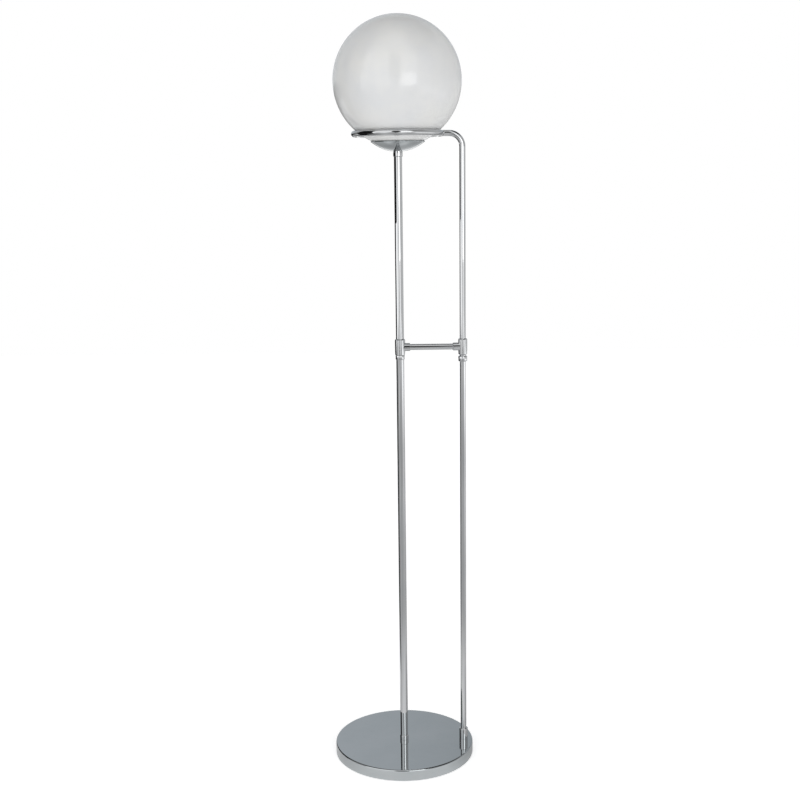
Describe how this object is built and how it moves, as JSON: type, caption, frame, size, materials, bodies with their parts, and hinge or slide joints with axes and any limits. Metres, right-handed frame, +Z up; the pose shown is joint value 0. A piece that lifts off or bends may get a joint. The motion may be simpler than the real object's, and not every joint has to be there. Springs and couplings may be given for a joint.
{
  "type": "floor lamp",
  "caption": "Floor lamp: a weighted round foot, parallel chromed uprights tied by a crossbar, and an opal glass globe that rests in a ring above a shallow cup with the lampholder.",
  "frame": {"origin": "on the floor, at the middle of the round foot, under the main post's axis", "axes": "+Z up along the main post, +X from the main post towards the side post, -Y towards the viewer, the cord outlet at +Y"},
  "size_m": [0.29, 0.2916, 1.51],
  "materials": {
    "chrome": "polished chromium plate",
    "zinc_steel": "zinc plated steel",
    "cast_iron": "sand cast, black primed",
    "painted_steel": "black enamel, satin",
    "black_rubber": "moulded, matte",
    "clear_silicone": "moulded, cloudy",
    "white_nylon": "injection moulded",
    "brown_insulation": "extruded",
    "blue_insulation": "extruded",
    "black_phenolic": "moulded phenolic resin",
    "glazed_ceramic": "glazed steatite",
    "brass": "stamped and turned",
    "solder": "tinned pip",
    "black_glass": "fused black glass",
    "nickel_plate": "rolled cap shell",
    "clear_glass": "blown, clear",
    "phosphor_coating": "yellow coated filament rods",
    "opal_glass": "blown opal, fire polished"
  },
  "bodies": {
    "lamp": {"bottom_plate": "painted_steel", "centre_contact": "brass", "cord_grommet": "black_rubber", "crossbar": "chrome", "cup_gasket": "clear_silicone", "cup_nut": "zinc_steel", "cup_washer": "zinc_steel", "foot_bolt": "zinc_steel", "foot_bush": "zinc_steel", "foot_collar": "chrome", "foot_cover": "chrome", "foot_nipple": "zinc_steel", "foot_nut": "zinc_steel", "foot_washer": "zinc_steel", "foot_weight": "cast_iron", "globe_cup": "chrome", "holder_cap": "black_phenolic", "holder_core": "glazed_ceramic", "holder_sleeve": "black_phenolic", "holder_terminals": "brass", "live_wire": "brown_insulation", "main_coupler": "zinc_steel", "main_ferrule": "chrome", "main_lower_tube": "chrome", "main_tee": "chrome", "main_upper_tube": "chrome", "neutral_wire": "blue_insulation", "plate_screws": "zinc_steel", "rubber_pads": "black_rubber", "screw_shell": "brass", "side_coupler": "zinc_steel", "side_ferrule": "chrome", "side_lower_tube": "chrome", "side_socket": "chrome", "side_tee": "chrome", "side_upper_tube": "chrome", "support_ring": "chrome", "tee_set_screws": "zinc_steel", "terminal_block": "white_nylon", "top_bush": "zinc_steel", "top_collar": "chrome", "top_nipple": "zinc_steel"},
    "bulb_tip": {"bulb_contact": "solder"},
    "bulb": {"bulb_insulator": "black_glass", "bulb_cap": "nickel_plate", "bulb_glass": "clear_glass", "bulb_stem": "clear_glass", "bulb_filaments": "phosphor_coating"},
    "globe": {"globe": "opal_glass"}
  },
  "joints": [
    {"name": "globe_lift", "type": "slide", "parent": "lamp", "child": "globe", "axis": [0, 0, 1], "range_m": [0, 0.16]},
    {"name": "bulb_rise", "type": "slide", "parent": "lamp", "child": "bulb_tip", "axis": [0, 0, 1], "range_m": [0, 0.0165]},
    {"name": "bulb_turn", "type": "hinge", "parent": "bulb_tip", "child": "bulb", "pos_m": [0, 0, 1.3], "axis": [0, 0, 1], "range_deg": [0, 1620]}
  ],
  "couplings": [
    {"joint": "bulb_rise", "follows": "bulb_turn", "m_per_rad": 0.00057757}
  ]
}
